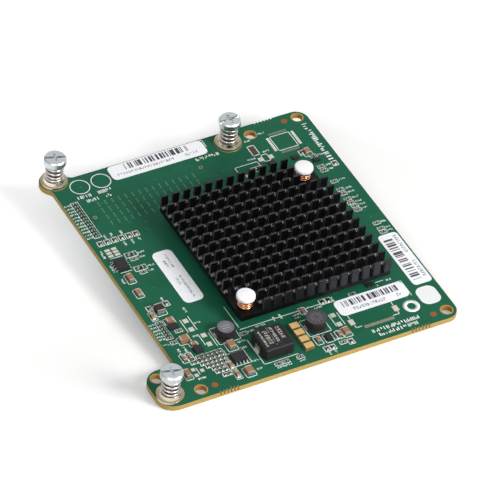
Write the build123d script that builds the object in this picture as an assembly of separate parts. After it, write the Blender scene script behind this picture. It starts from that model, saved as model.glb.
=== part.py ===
from build123d import *
import math
import os

# Fibre channel host bus adapter: a mezzanine card with a pin-fin heat sink and captive spring screws.
# Places on the board are measured from the front-left corner of its main rectangle.
# X runs along the front edge, Y to the back, Z up, with z = 0 on the board's top face.

# Circuit board
board_width = 100.0
board_depth = 112.7
board_thickness = 2.0
board_corner_radius = 4.5
tab_reach = 12.8
tab_depth = 17.6
tab_corner_radius = 6.0
tab_root_radius = 2.0
ear_radius = 5.1
ear_root_radius = 2.4
perforation_d = 0.8
perforation_pitch = 1.3
perforation_count = 6
perforation_bite = 0.25
perforation_sides = 6
front_left_break_x = 8.1
right_break_inset = 19.0

# Tooling holes
tooling_hole_d = 3.9
datum_x = 2.6
datum_y = 3.8
right_hole_inset = 3.7
rear_right_hole_inset = 3.3
rear_hole_inset_x = 23.3
rear_hole_inset_y = 4.9
tab_hole_x = 8.6
tab_hole_y = 14.1

# Captive screws
rear_left_screw_x = 2.7
rear_left_screw_rise = 0.7
rear_screw_inset_x = 32.6
rear_screw_inset_y = 5.5
front_screw_x = 8.0
front_screw_y = 5.6
slot_turn_rear_left = -18.0
slot_turn_rear = 3.0
slot_turn_front = -15.0
ferrule_flange_d = 9.5
ferrule_rim_height = 0.9
ferrule_dish_d = 8.2
ferrule_dish_height = 0.4
ferrule_hub_d = 7.0
ferrule_height = 2.0
screw_thread_d = 4.1
screw_thread_clearance = 0.25
screw_shank_d = 3.4
screw_shank_clearance = 0.2
screw_retaining_gap = 0.05
screw_tip_recess = 0.1
screw_head_d = 7.9
screw_head_height = 2.4
screw_head_chamfer = 0.45
slot_width = 0.9
slot_depth = 0.8
cross_length = 4.2
cross_depth = 1.3
screw_spring_d = 6.5
screw_spring_wire = 0.75
screw_spring_length = 6.7
screw_spring_turns = 3.5
spring_seat_gap = 0.1
points_per_turn = 8
wire_sides = 4

# Controller chip and heat sink
chip_size = 31.0
chip_body_height = 1.6
chip_lid_size = 27.0
chip_lid_height = 1.0
thermal_pad_thickness = 0.4
sink_x = 27.9
sink_y = 23.9
sink_width = 57.4
sink_depth = 59.0
sink_base = 1.8
fin_height = 5.2
fin_width = 2.5
fin_thickness = 0.8
fin_columns = 14
fin_rows = 14
pin_room_x = 0.2
pin_room_y = 0.6

# Push pins
front_pin_inset_x = 4.1
front_pin_inset_y = 5.1
rear_pin_inset_x = 4.9
rear_pin_inset_y = 5.9
pin_head_d = 6.6
pin_head_height = 1.6
pin_shaft_d = 3.0
pin_board_clearance = 0.1
pin_sink_clearance = 0.3
pin_barb_d = 4.0
pin_barb_gap = 0.2
pin_barb_length = 2.8
pin_tip_d = 1.8
pin_prong_thickness = 2.2
pin_split = 0.6
pin_spring_d = 5.3
pin_spring_wire = 0.6
pin_spring_length = 3.5
pin_spring_turns = 3.0

# Mezzanine connector on the underside
connector_x = 9.5
connector_rear_inset = 12.2
connector_width = 42.0
connector_depth = 17.0
connector_foot = 2.5
connector_height = 7.5
connector_shoulder = 2.0
connector_chamfer = 0.6
contact_rows = 8
contact_groove = 0.9
contact_groove_depth = 2.0
contact_thickness = 0.4
contact_stand_back = 0.5
contact_end_margin = 1.5

# Power choke
choke_x = 33.8
choke_y = 12.2
choke_width = 11.0
choke_depth = 10.8
choke_height = 4.5
choke_corner = 0.6
choke_top_chamfer = 0.35
choke_terminal_width = 3.0
choke_terminal_height = 2.2
choke_terminal_thickness = 0.3
choke_terminal_foot = 0.9

# Drum chokes
left_drum_x = 22.0
left_drum_y = 23.6
left_drum_height = 3.4
left_drum_top_d = 5.8
left_drum_winding_d = 6.9
right_drum_x = 51.6
right_drum_y = 14.8
right_drum_height = 4.3
right_drum_top_d = 7.2
right_drum_winding_d = 6.4
drum_base_size = 7.0
drum_base_height = 0.9
drum_base_corner = 1.7
drum_post_size = 3.2
drum_top_height = 0.9
drum_terminal_width = 2.2
drum_terminal_thickness = 0.35

# Chips with gull-wing leads
memory_x = 5.0
memory_y = 66.4
regulator_x = 20.8
regulator_y = 11.6
outline_chip_length = 4.9
outline_chip_width = 3.9
outline_chip_height = 1.45
outline_chip_stand = 0.15
lead_pitch = 1.27
leads_per_side = 4
lead_width = 0.42
lead_reach = 1.05
lead_bend = 0.5
lead_thickness = 0.22
lead_shoulder = 0.7

# Small flat chips
supervisor_x = 7.4
supervisor_y = 33.2
supervisor_width = 3.4
supervisor_depth = 2.2
supervisor_height = 1.0
sequencer_x = 10.3
sequencer_y = 20.5
sequencer_size = 3.0
sequencer_height = 0.9
switch_x = 53.0
switch_y = 8.0
switch_width = 2.0
switch_depth = 2.8
switch_height = 1.0

# Tantalum capacitor
tantalum_x = 6.9
tantalum_y = 42.2
tantalum_width = 2.8
tantalum_length = 3.5
tantalum_height = 1.9
tantalum_terminal = 0.35

# Output capacitors, a column of four in front of the heat sink
output_x = 44.6
output_first_y = 6.65
output_pitch = 3.36
output_count = 4
output_length = 3.2
output_depth = 2.5
output_height = 1.4
output_terminal = 0.5

# Ceramic capacitors: centre x, centre y, size in x, size in y, height
chip_terminal = 0.4
ceramic_capacitors = [
    (4.9, 59.7, 1.7, 3.4, 1.3),
    (4.3, 52.3, 1.6, 3.2, 1.0),
    (7.7, 36.3, 2.6, 2.0, 1.2),
    (8.0, 26.3, 3.2, 2.5, 1.6),
    (10.0, 23.5, 2.0, 1.2, 0.9),
    (21.2, 17.7, 2.5, 3.2, 1.5),
    (21.1, 4.6, 2.5, 3.2, 1.5),
    (1.5, 11.4, 1.7, 3.4, 1.5),
    (59.7, 8.0, 2.0, 3.2, 1.3),
    (51.2, 22.6, 1.2, 2.0, 0.8),
    (board_width - 9.3, 91.9, 2.0, 2.6, 1.2),
    (49.2, 8.2, 1.2, 2.0, 0.8),
    (57.2, 8.0, 1.2, 2.0, 0.8),
    (4.0, 18.6, 1.1, 2.2, 0.7),
    (6.2, 18.6, 1.1, 2.2, 0.7),
]

# Bypass capacitors on the underside, below the controller chip
bypass_columns = 4
bypass_rows = 3
bypass_pitch = 4.2
bypass_length = 1.6
bypass_width = 0.8
bypass_height = 0.8

# Paper labels
label_thickness = 0.1
label_corner_steps = 3
rear_label_x = 22.2
rear_label_inset = 0.3
rear_label_gap = 3.6
rear_label_depth = 7.1
rear_label_corner = 1.7
left_label_x = 16.6
left_label_y = 41.5
left_label_width = 7.5
left_label_depth = 26.2
left_label_corner = 2.0
front_label_x = 62.1
front_label_y = 14.9
front_label_gap = 3.2
front_label_depth = 7.5
front_label_corner = 1.8
right_label_inset = 0.6
right_label_y = 18.3
right_label_width = 7.4
right_label_depth = 26.1
right_label_corner = 1.4

# Places worked out from the sizes above
corner = (Align.MIN, Align.MIN)
standing = (Align.CENTER, Align.CENTER, Align.MIN)
hanging = (Align.CENTER, Align.CENTER, Align.MAX)
board_bottom = -board_thickness
screw_places = {
    "rear_left": (rear_left_screw_x, board_depth + rear_left_screw_rise, slot_turn_rear_left),
    "rear": (board_width - rear_screw_inset_x, board_depth - rear_screw_inset_y, slot_turn_rear),
    "front": (-front_screw_x, front_screw_y, slot_turn_front),
}
tooling_holes = [
    (datum_x, datum_y),
    (board_width - right_hole_inset, datum_y),
    (board_width - right_hole_inset, board_depth - rear_right_hole_inset),
    (board_width - rear_hole_inset_x, board_depth - rear_hole_inset_y),
    (-tab_hole_x, tab_hole_y),
]
chip_top = chip_body_height + chip_lid_height
sink_bottom = chip_top + thermal_pad_thickness
sink_floor = sink_bottom + sink_base
sink_centre = (sink_x + sink_width / 2, sink_y + sink_depth / 2)
pin_places = {
    "front": (sink_x + front_pin_inset_x, sink_y + front_pin_inset_y),
    "rear": (sink_x + sink_width - rear_pin_inset_x, sink_y + sink_depth - rear_pin_inset_y),
}
screw_hole_d = screw_thread_d + 2 * screw_thread_clearance
ferrule_bore_d = screw_shank_d + 2 * screw_shank_clearance
pin_hole_d = pin_shaft_d + 2 * pin_board_clearance
screw_spring_bottom = ferrule_height + spring_seat_gap
screw_head_bottom = screw_spring_bottom + screw_spring_length + spring_seat_gap
screw_head_top = screw_head_bottom + screw_head_height

os.makedirs("parts", exist_ok=True)


# The row frame has its origin on the axis of the front-left tooling hole, at the board's top face.
def save(name, *solids):
    moved = [Pos(-datum_x, -datum_y, 0) * solid for solid in solids]
    shape = moved[0] if len(moved) == 1 else Compound(children=moved)
    export_step(shape, f"parts/{name}.step")


def block(x, y, z, width, depth, height):
    return Pos(x, y, z) * Box(width, depth, height, align=standing)


def turned(points):
    profile = make_face(Polyline(*points, close=True))
    return revolve(Plane.XZ * profile, axis=Axis.Z)


# Wire wound round Z, drawn as a square that fits inside the round wire, ends included in the length.
def coil(outer_d, wire, length, turns):
    radius = (outer_d - wire) / 2
    rise = (length - wire) / (turns * points_per_turn)
    points = []
    for step in range(int(turns * points_per_turn) + 1):
        angle = 2 * math.pi * step / points_per_turn
        points.append((radius * math.cos(angle), radius * math.sin(angle), wire / 2 + rise * step))
    path = Polyline(*points)
    section = Plane(path @ 0, z_dir=path % 0) * RegularPolygon(wire / 2, wire_sides)
    return sweep(section, path=path, transition=Transition.RIGHT)


def nearest_vertex(sketch, x, y):
    return min(sketch.vertices(), key=lambda v: math.hypot(v.X - x, v.Y - y))


def row_of_holes(first_x, y):
    places = [(first_x + i * perforation_pitch, y) for i in range(perforation_count)]
    return [Pos(x, y) * RegularPolygon(perforation_d / 2, perforation_sides) for x, y in places]


# Circuit board: rounded rectangle with a tab at the front left and an ear round the rear-left screw
def circuit_board():
    main = Rectangle(board_width, board_depth, align=corner)
    main = fillet(main.vertices().sort_by(Axis.X)[-2:], board_corner_radius)
    tab = Pos(-tab_reach, 0) * Rectangle(tab_reach + board_corner_radius, tab_depth, align=corner)
    tab = fillet(tab.vertices().sort_by(Axis.X)[:2], tab_corner_radius)
    ear_x, ear_y, _ = screw_places["rear_left"]
    outline = main + tab + Pos(ear_x, ear_y) * Circle(ear_radius)
    ear_side_y = ear_y - math.sqrt(ear_radius**2 - ear_x**2)
    ear_back_x = ear_x + math.sqrt(ear_radius**2 - (ear_y - board_depth) ** 2)
    outline = fillet(nearest_vertex(outline, 0, tab_depth), tab_root_radius)
    outline = fillet(nearest_vertex(outline, 0, ear_side_y), ear_root_radius)
    outline = fillet(nearest_vertex(outline, ear_back_x, board_depth), ear_root_radius)
    right_break_x = board_width - right_break_inset
    holes = row_of_holes(front_left_break_x, perforation_bite)
    holes += row_of_holes(right_break_x, perforation_bite)
    holes += row_of_holes(right_break_x, board_depth - perforation_bite)
    holes += [Pos(x, y) * Circle(tooling_hole_d / 2) for x, y in tooling_holes]
    holes += [Pos(x, y) * Circle(screw_hole_d / 2) for x, y, _ in screw_places.values()]
    holes += [Pos(x, y) * Circle(pin_hole_d / 2) for x, y in pin_places.values()]
    outline -= holes
    return extrude(outline, amount=-board_thickness)


# Heat sink: cross-cut pin fins on a flat base, with two corners left clear for the push pins
def fin_is_cut(x, y):
    room_x = (pin_head_d + fin_width) / 2 + pin_room_x
    room_y = (pin_head_d + fin_thickness) / 2 + pin_room_y
    front_x, front_y = pin_places["front"]
    rear_x, rear_y = pin_places["rear"]
    front = x - front_x < room_x and y - front_y < room_y
    rear = rear_x - x < room_x and rear_y - y < room_y
    return front or rear


def heat_sink():
    base = Pos(sink_x, sink_y, sink_bottom) * Box(sink_width, sink_depth, sink_base, align=(Align.MIN,) * 3)
    pitch_x = (sink_width - fin_width) / (fin_columns - 1)
    pitch_y = (sink_depth - fin_thickness) / (fin_rows - 1)
    fins = []
    for column in range(fin_columns):
        for row in range(fin_rows):
            x = sink_x + fin_width / 2 + column * pitch_x
            y = sink_y + fin_thickness / 2 + row * pitch_y
            if not fin_is_cut(x, y):
                fins.append(block(x, y, sink_floor, fin_width, fin_thickness, fin_height))
    hole_d = pin_shaft_d + 2 * pin_sink_clearance
    holes = [Pos(x, y, sink_bottom) * Cylinder(hole_d / 2, sink_base, align=standing)
             for x, y in pin_places.values()]
    return base + fins - holes


def controller():
    x, y = sink_centre
    body = block(x, y, 0, chip_size, chip_size, chip_body_height)
    lid = block(x, y, chip_body_height, chip_lid_size, chip_lid_size, chip_lid_height)
    pad = block(x, y, chip_top, chip_lid_size, chip_lid_size, thermal_pad_thickness)
    return body, lid, pad


# Push pin: flat head, shaft through the sink and the board, two springy prongs with barbs below
def push_pin():
    head_bottom = sink_floor + pin_spring_length
    barb_top = board_bottom - pin_barb_gap
    barb_tip = barb_top - pin_barb_length
    head = Pos(0, 0, head_bottom) * Cylinder(pin_head_d / 2, pin_head_height, align=standing)
    shaft = Pos(0, 0, barb_top) * Cylinder(pin_shaft_d / 2, head_bottom - barb_top, align=standing)
    prong = make_face(Polyline(
        (pin_split / 2, barb_top),
        (pin_barb_d / 2, barb_top),
        (pin_tip_d / 2, barb_tip),
        (pin_split / 2, barb_tip),
        close=True,
    ))
    prong = extrude(Plane.XZ * prong, amount=pin_prong_thickness / 2, both=True)
    return head + shaft + prong + mirror(prong, about=Plane.YZ)


# Captive screw: slotted cross head on the spring, thin shank, thread caught below the ferrule
def captive_screw():
    thread_top = -screw_retaining_gap
    tip = board_bottom + screw_tip_recess
    thread_r = screw_thread_d / 2
    shank_r = screw_shank_d / 2
    head_r = screw_head_d / 2
    screw = turned([
        (0, tip),
        (thread_r, tip),
        (thread_r, thread_top),
        (shank_r, thread_top),
        (shank_r, screw_head_bottom),
        (head_r, screw_head_bottom),
        (head_r, screw_head_top - screw_head_chamfer),
        (head_r - screw_head_chamfer, screw_head_top),
        (0, screw_head_top),
    ])
    top = Pos(0, 0, screw_head_top)
    slot = top * Box(screw_head_d, slot_width, 2 * slot_depth)
    long_arm = top * Box(cross_length, slot_width, 2 * cross_depth)
    cross_arm = top * Box(slot_width, cross_length, 2 * cross_depth)
    return screw - slot - long_arm - cross_arm


# Ferrule: saucer flange soldered on the board, tapered hub, bore too narrow for the thread below it
def ferrule():
    flange_r = ferrule_flange_d / 2
    bore_r = ferrule_bore_d / 2
    return turned([
        (bore_r, 0),
        (flange_r, 0),
        (flange_r, ferrule_rim_height),
        (ferrule_dish_d / 2, ferrule_dish_height),
        (ferrule_hub_d / 2, ferrule_height),
        (bore_r, ferrule_height),
    ])


# Mezzanine connector: foot against the board, narrower mating block with grooves, a contact strip in each groove
def connector():
    x = connector_x + connector_width / 2
    y = board_depth - connector_rear_inset - connector_depth / 2
    block_width = connector_width - 2 * connector_shoulder
    block_depth = connector_depth - 2 * connector_shoulder
    block_height = connector_height - connector_foot
    foot = Box(connector_width, connector_depth, connector_foot, align=hanging)
    mating = Pos(0, 0, -connector_foot) * Box(block_width, block_depth, block_height, align=hanging)
    mating = chamfer(mating.faces().sort_by(Axis.Z)[0].edges(), connector_chamfer)
    housing = foot + mating
    row_pitch = block_depth / contact_rows
    groove_length = block_width - 2 * contact_end_margin
    groove_floor = contact_groove_depth - connector_height
    strips = []
    for row in range(contact_rows):
        row_y = (row - (contact_rows - 1) / 2) * row_pitch
        groove = Box(groove_length, contact_groove, contact_groove_depth, align=hanging)
        strip_height = contact_groove_depth - contact_stand_back
        strip = Box(groove_length, contact_thickness, strip_height, align=hanging)
        housing -= Pos(0, row_y, groove_floor) * groove
        strips.append(Pos(x, y, board_bottom) * Pos(0, row_y, groove_floor) * strip)
    return Pos(x, y, board_bottom) * housing, strips


# Power choke: square pressed body, a bent terminal on each side
def power_choke():
    body = block(choke_x, choke_y, 0, choke_width, choke_depth, choke_height)
    body = chamfer(body.edges().filter_by(Axis.Z), choke_corner)
    body = chamfer(body.faces().sort_by(Axis.Z)[-1].edges(), choke_top_chamfer)
    terminals = []
    for side in (-1, 1):
        x = choke_x + side * (choke_width + choke_terminal_thickness) / 2
        foot_x = choke_x + side * (choke_width + choke_terminal_foot) / 2
        riser = block(x, choke_y, 0, choke_terminal_thickness, choke_terminal_width, choke_terminal_height)
        foot = block(foot_x, choke_y, 0, choke_terminal_foot, choke_terminal_width, choke_terminal_thickness)
        terminals.append(riser + foot)
    return body, terminals


# Drum choke: chamfered square base, post and round top of one ferrite piece, wound in between
def drum_choke(x, y, height, top_d, winding_d):
    place = Pos(x, y, 0)
    base = Box(drum_base_size, drum_base_size, drum_base_height, align=standing)
    base = chamfer(base.edges().filter_by(Axis.Z), drum_base_corner)
    top_bottom = height - drum_top_height
    post = Box(drum_post_size, drum_post_size, height, align=standing)
    top = Pos(0, 0, top_bottom) * Cylinder(top_d / 2, drum_top_height, align=standing)
    gap = top_bottom - drum_base_height
    winding = Cylinder(winding_d / 2, gap, align=standing)
    winding -= Box(drum_post_size, drum_post_size, gap, align=standing)
    terminals = []
    for side in (-1, 1):
        side_x = side * (drum_base_size + drum_terminal_thickness) / 2
        terminals.append(place * block(side_x, 0, 0, drum_terminal_thickness, drum_terminal_width,
                                       drum_base_height))
    return place * (base + post + top), place * Pos(0, 0, drum_base_height) * winding, terminals


def gull_lead():
    profile = make_face(Polyline(
        (0, lead_shoulder),
        (lead_bend, lead_shoulder),
        (lead_bend + lead_thickness, lead_thickness),
        (lead_reach, lead_thickness),
        (lead_reach, 0),
        (lead_bend, 0),
        (lead_bend - lead_thickness, lead_shoulder - lead_thickness),
        (0, lead_shoulder - lead_thickness),
        close=True,
    ))
    return extrude(Plane.XZ * profile, amount=lead_width / 2, both=True)


# Small-outline chip: tapered body with a row of gull-wing leads on each long side
def outline_chip(x, y, turn):
    lead = gull_lead()
    stand = outline_chip_stand
    place = Pos(x, y, 0) * Rot(0, 0, turn)
    body = Pos(0, 0, stand) * Box(outline_chip_width, outline_chip_length, outline_chip_height - stand,
                                  align=standing)
    leads = []
    for side in (0, 180):
        for i in range(leads_per_side):
            row_y = (i - (leads_per_side - 1) / 2) * lead_pitch
            leads.append(place * Rot(0, 0, side) * Pos(outline_chip_width / 2, row_y, 0) * lead)
    return place * body, leads


# Chip capacitor along its longer side: ceramic body between two metal ends
def chip_capacitor(x, y, size_x, size_y, height, terminal):
    along_x = size_x > size_y
    length = max(size_x, size_y)
    width = min(size_x, size_y)
    place = Pos(x, y, 0) * Rot(0, 0, 0 if along_x else 90)
    body = place * block(0, 0, 0, length - 2 * terminal, width, height)
    shift = (length - terminal) / 2
    ends = [place * block(side * shift, 0, 0, terminal, width, height) for side in (-1, 1)]
    return body, ends


# Paper label: thin sheet with its corners rounded in a few short steps
def paper_label(x, y, width, depth, radius):
    points = []
    for quarter, (side_x, side_y) in enumerate(((1, 1), (0, 1), (0, 0), (1, 0))):
        centre_x = width - radius if side_x else radius
        centre_y = depth - radius if side_y else radius
        for step in range(label_corner_steps + 1):
            angle = math.pi / 2 * (quarter + step / label_corner_steps)
            points.append((centre_x + radius * math.cos(angle), centre_y + radius * math.sin(angle)))
    face = make_face(Polyline(*points, close=True))
    return Pos(x, y, 0) * extrude(face, amount=label_thickness)


save("circuit_board", circuit_board())
save("heat_sink", heat_sink())
chip_body, chip_lid, thermal_pad = controller()
save("controller_chip", chip_body)
save("controller_chip_lid", chip_lid)
save("thermal_pad", thermal_pad)

for name, (x, y) in pin_places.items():
    spring = coil(pin_spring_d, pin_spring_wire, pin_spring_length, pin_spring_turns)
    save(f"push_pin_{name}", Pos(x, y, 0) * push_pin())
    save(f"push_pin_spring_{name}", Pos(x, y, sink_floor) * spring)

for name, (x, y, slot_turn) in screw_places.items():
    spring = coil(screw_spring_d, screw_spring_wire, screw_spring_length, screw_spring_turns)
    save(f"captive_screw_{name}", Pos(x, y, 0) * Rot(0, 0, slot_turn) * captive_screw())
    save(f"screw_spring_{name}", Pos(x, y, screw_spring_bottom) * spring)
save("screw_ferrules", *[Pos(x, y, 0) * ferrule() for x, y, _ in screw_places.values()])

housing, strips = connector()
save("mezzanine_connector", housing)
save("mezzanine_contacts", *strips)

choke, choke_terminals = power_choke()
save("power_choke", choke)
save("power_choke_terminals", *choke_terminals)

drum_terminals = []
drums = {
    "left": (left_drum_x, left_drum_y, left_drum_height, left_drum_top_d, left_drum_winding_d),
    "right": (right_drum_x, right_drum_y, right_drum_height, right_drum_top_d, right_drum_winding_d),
}
for name, sizes in drums.items():
    core, winding, terminals = drum_choke(*sizes)
    save(f"drum_choke_{name}", core)
    save(f"drum_choke_winding_{name}", winding)
    drum_terminals += terminals
save("drum_choke_terminals", *drum_terminals)

memory_body, memory_leads = outline_chip(memory_x, memory_y, 0)
regulator_body, regulator_leads = outline_chip(regulator_x, regulator_y, 90)
save("memory_chip", memory_body)
save("regulator_chip", regulator_body)
save("chip_leads", *memory_leads, *regulator_leads)
save("supervisor_chip", block(supervisor_x, supervisor_y, 0, supervisor_width, supervisor_depth,
                              supervisor_height))
save("sequencer_chip", block(sequencer_x, sequencer_y, 0, sequencer_size, sequencer_size, sequencer_height))
save("switch_chip", block(switch_x, switch_y, 0, switch_width, switch_depth, switch_height))

tantalum, tantalum_ends = chip_capacitor(tantalum_x, tantalum_y, tantalum_width, tantalum_length,
                                         tantalum_height, tantalum_terminal)
save("tantalum_capacitor", tantalum)
save("tantalum_terminals", *tantalum_ends)

output_bodies = []
output_ends = []
for i in range(output_count):
    body, ends = chip_capacitor(output_x, output_first_y + i * output_pitch, output_length, output_depth,
                                output_height, output_terminal)
    output_bodies.append(body)
    output_ends += ends
save("output_capacitors", *output_bodies)
save("output_capacitor_terminals", *output_ends)

ceramic_bodies = []
ceramic_ends = []
for x, y, size_x, size_y, height in ceramic_capacitors:
    body, ends = chip_capacitor(x, y, size_x, size_y, height, chip_terminal)
    ceramic_bodies.append(body)
    ceramic_ends += ends
save("ceramic_capacitors", *ceramic_bodies)
save("ceramic_capacitor_terminals", *ceramic_ends)

bypass = []
for column in range(bypass_columns):
    for row in range(bypass_rows):
        x = sink_centre[0] + (column - (bypass_columns - 1) / 2) * bypass_pitch
        y = sink_centre[1] + (row - (bypass_rows - 1) / 2) * bypass_pitch
        bypass.append(block(x, y, board_bottom - bypass_height, bypass_length, bypass_width, bypass_height))
save("bypass_capacitors", *bypass)

rear_label_end = screw_places["rear"][0] - ferrule_flange_d / 2 - rear_label_gap
rear_label_y = board_depth - rear_label_inset - rear_label_depth
right_label_x = board_width - right_label_inset - right_label_width
front_label_width = right_label_x - front_label_gap - front_label_x
rear_label_width = rear_label_end - rear_label_x
save("rear_label", paper_label(rear_label_x, rear_label_y, rear_label_width, rear_label_depth, rear_label_corner))
save("left_label", paper_label(left_label_x, left_label_y, left_label_width, left_label_depth, left_label_corner))
save("front_label", paper_label(front_label_x, front_label_y, front_label_width, front_label_depth,
                                front_label_corner))
save("right_label", paper_label(right_label_x, right_label_y, right_label_width, right_label_depth,
                                right_label_corner))
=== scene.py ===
import math
import random
import bpy
import bmesh
from mathutils import Matrix, Vector


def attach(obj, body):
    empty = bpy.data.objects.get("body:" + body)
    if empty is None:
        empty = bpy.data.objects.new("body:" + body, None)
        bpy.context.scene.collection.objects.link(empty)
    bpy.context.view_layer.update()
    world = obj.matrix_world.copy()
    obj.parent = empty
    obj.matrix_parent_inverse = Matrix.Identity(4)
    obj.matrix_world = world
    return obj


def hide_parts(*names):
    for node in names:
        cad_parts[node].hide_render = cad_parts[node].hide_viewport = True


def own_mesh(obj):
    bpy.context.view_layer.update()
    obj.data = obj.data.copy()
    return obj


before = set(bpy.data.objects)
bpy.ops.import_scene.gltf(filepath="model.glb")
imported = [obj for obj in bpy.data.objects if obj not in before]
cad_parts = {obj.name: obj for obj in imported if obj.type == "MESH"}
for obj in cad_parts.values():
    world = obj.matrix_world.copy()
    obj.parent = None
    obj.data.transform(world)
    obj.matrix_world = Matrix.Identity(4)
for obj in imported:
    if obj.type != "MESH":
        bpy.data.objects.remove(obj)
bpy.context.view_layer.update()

print("frame loaded:", len(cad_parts), "nodes")

perMetre = 1000  # sizes and places below are millimetres, from the board's front left corner
board = {"datum": (2.6, 3.8), "middle": (50, 56), "thickness": 2.0}


def onBoard(x, y, z=0.0):  # board millimetres to the frame's metres
    return Vector((x - board["datum"][0], y - board["datum"][1], z)) / perMetre


def newObject(name, data):
    made = bpy.data.objects.new(name, data)
    bpy.context.scene.collection.objects.link(made)
    return made


# camera
lensView = {
    "azimuth": 32.44, "elevation": 43.244, "roll": 6.21, "lens": 309.6, "sensor": 36.0,
    "corner": (-16.56, 48.928, 1409.19),  # from the eye to the board's corner: right, down and ahead
}


def placeCamera(view):
    az, el, roll = (math.radians(view[key]) for key in ("azimuth", "elevation", "roll"))
    right = Vector((math.cos(az), -math.sin(az), 0))
    ahead = Vector((math.sin(az) * math.cos(el), math.cos(az) * math.cos(el), -math.sin(el)))
    up = right.cross(ahead)
    side = right * math.cos(roll) + up * math.sin(roll)
    top = up * math.cos(roll) - right * math.sin(roll)
    across, down, deep = view["corner"]
    eye = top * down - side * across - ahead * deep
    data = bpy.data.cameras.new("photoCamera")
    data.lens = view["lens"]
    data.sensor_width = view["sensor"]
    camera = newObject("photoCamera", data)
    turn = Matrix((side, top, -ahead)).transposed()
    camera.matrix_world = Matrix.Translation(onBoard(*eye)) @ turn.to_4x4()
    bpy.context.scene.camera = camera


placeCamera(lensView)
bpy.context.scene.view_settings.view_transform = "Standard"


# node writing, for shaders and for geometry
class Wire:
    def __init__(self, tree, link):
        self.tree = tree
        self.link = link

    def node(self, kind, values=None, output=0, **settings):
        made = self.tree.nodes.new(kind)
        for key, value in settings.items():
            setattr(made, key, value)
        for key, value in (values or {}).items():
            if isinstance(value, Wire):
                self.tree.links.new(value.link, made.inputs[key])
            else:
                made.inputs[key].default_value = value
        return Wire(self.tree, made.outputs[output])

    def math(self, operation, first, second=0.0):
        return self.node("ShaderNodeMath", {0: first, 1: second}, operation=operation)

    def __add__(self, other):
        return self.math("ADD", self, other)

    __radd__ = __add__

    def __sub__(self, other):
        return self.math("SUBTRACT", self, other)

    def __rsub__(self, other):
        return self.math("SUBTRACT", other, self)

    def __mul__(self, other):
        return self.math("MULTIPLY", self, other)

    __rmul__ = __mul__

    def __truediv__(self, other):
        return self.math("DIVIDE", self, other)

    def __gt__(self, other):
        return self.math("GREATER_THAN", self, other)

    def __lt__(self, other):
        return self.math("LESS_THAN", self, other)

    def __abs__(self):
        return self.math("ABSOLUTE", self)

    def floor(self):
        return self.math("FLOOR", self)

    def fract(self):
        return self.math("FRACT", self)

    def max(self, other):
        return self.math("MAXIMUM", self, other)

    def between(self, low, high):
        return (self > low) * (self < high)

    def span(self, low, high):  # nought to one stretched over a range
        return self * (high - low) + low

    def ramp(self, low, high, least=0.0, most=1.0):  # a range turned into another and held at its ends
        values = {"Value": self, "From Min": low, "From Max": high, "To Min": least, "To Max": most}
        return self.node("ShaderNodeMapRange", values)

    def mix(self, first, second):  # colours, with this wire as the share of the second
        tones = [tone if isinstance(tone, Wire) else (*tone, 1) for tone in (first, second)]
        sockets = {0: self, 6: tones[0], 7: tones[1]}  # a Mix node's share and its two colours
        return self.node("ShaderNodeMix", sockets, 2, data_type="RGBA")


class Paint:  # one material: its place wires in millimetres, its Principled shader and its end
    def __init__(self, name, **plain):
        self.material = bpy.data.materials.new(name)
        self.material.use_nodes = True
        self.tree = self.material.node_tree
        self.shader = self.tree.nodes["Principled BSDF"]
        for key, value in plain.items():
            self.shader.inputs[key.replace("_", " ")].default_value = value
        self.start = Wire(self.tree, None)
        self.place = self.start.node("ShaderNodeTexCoord", output="Object")
        self.x = self.axis(0) * perMetre + board["datum"][0]
        self.y = self.axis(1) * perMetre + board["datum"][1]
        self.z = self.axis(2) * perMetre

    def axis(self, which, way=None):
        return self.start.node("ShaderNodeSeparateXYZ", {0: way or self.place}, which)

    def noise(self, scale, detail=3.0, stretch=None):
        place = self.place
        if stretch:
            place = self.start.node("ShaderNodeMapping", {"Vector": place, "Scale": stretch})
        values = {"Vector": place, "Scale": scale, "Detail": detail, "Roughness": 0.55}
        return self.start.node("ShaderNodeTexNoise", values)

    def cells(self, scale, output, jitter=1.0):
        values = {"Vector": self.place, "Scale": scale, "Randomness": jitter}
        return self.start.node("ShaderNodeTexVoronoi", values, output)

    def chance(self, first, second):  # one steady random number for each pair of whole numbers
        pair = self.start.node("ShaderNodeCombineXYZ", {0: first, 1: second})
        return self.start.node("ShaderNodeTexWhiteNoise", {"Vector": pair})

    def far(self, x, y):  # distance from a place on the board
        across = self.x - x
        along = self.y - y
        return self.start.math("SQRT", across * across + along * along)

    def room(self, x0, x1, y0, y1):
        return self.x.between(x0, x1) * self.y.between(y0, y1)

    def feed(self, **wires):
        for key, wire in wires.items():
            self.tree.links.new(wire.link, self.shader.inputs[key.replace("_", " ")])
        return self

    def bump(self, height, strength, depth):
        values = {"Strength": strength, "Distance": depth / perMetre, "Height": height}
        return self.feed(Normal=self.start.node("ShaderNodeBump", values))


# plain finishes: speckled mouldings and brushed metals
finishSet = {
    "blotch": 0.12, "grainDepth": 0.05,
    "brushLift": 0.08, "brushDepth": 0.03,
}
screwNeckShade = {"reach": (2.3, 8.8), "tone": (0.24, 0.23, 0.22)}  # painted shade: the shank darker inside the spring


def shade(tone, share):
    return tuple(min(1.0, c * share) for c in tone)


def grain(name, tone, spread, rough=(0.35, 0.5), scale=900, metal=0.0, lift=0.12, **plain):
    paint = Paint(name, Metallic=metal, **plain)
    coarse = paint.noise(scale * finishSet["blotch"], detail=2.0)
    fine = paint.noise(scale)
    colour = (coarse * 0.5 + fine * 0.5).mix(shade(tone, 1 - spread), shade(tone, 1 + spread))
    paint.feed(Base_Color=colour, Roughness=fine.span(*rough))
    return paint.bump(fine, lift, finishSet["grainDepth"]).material


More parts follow.
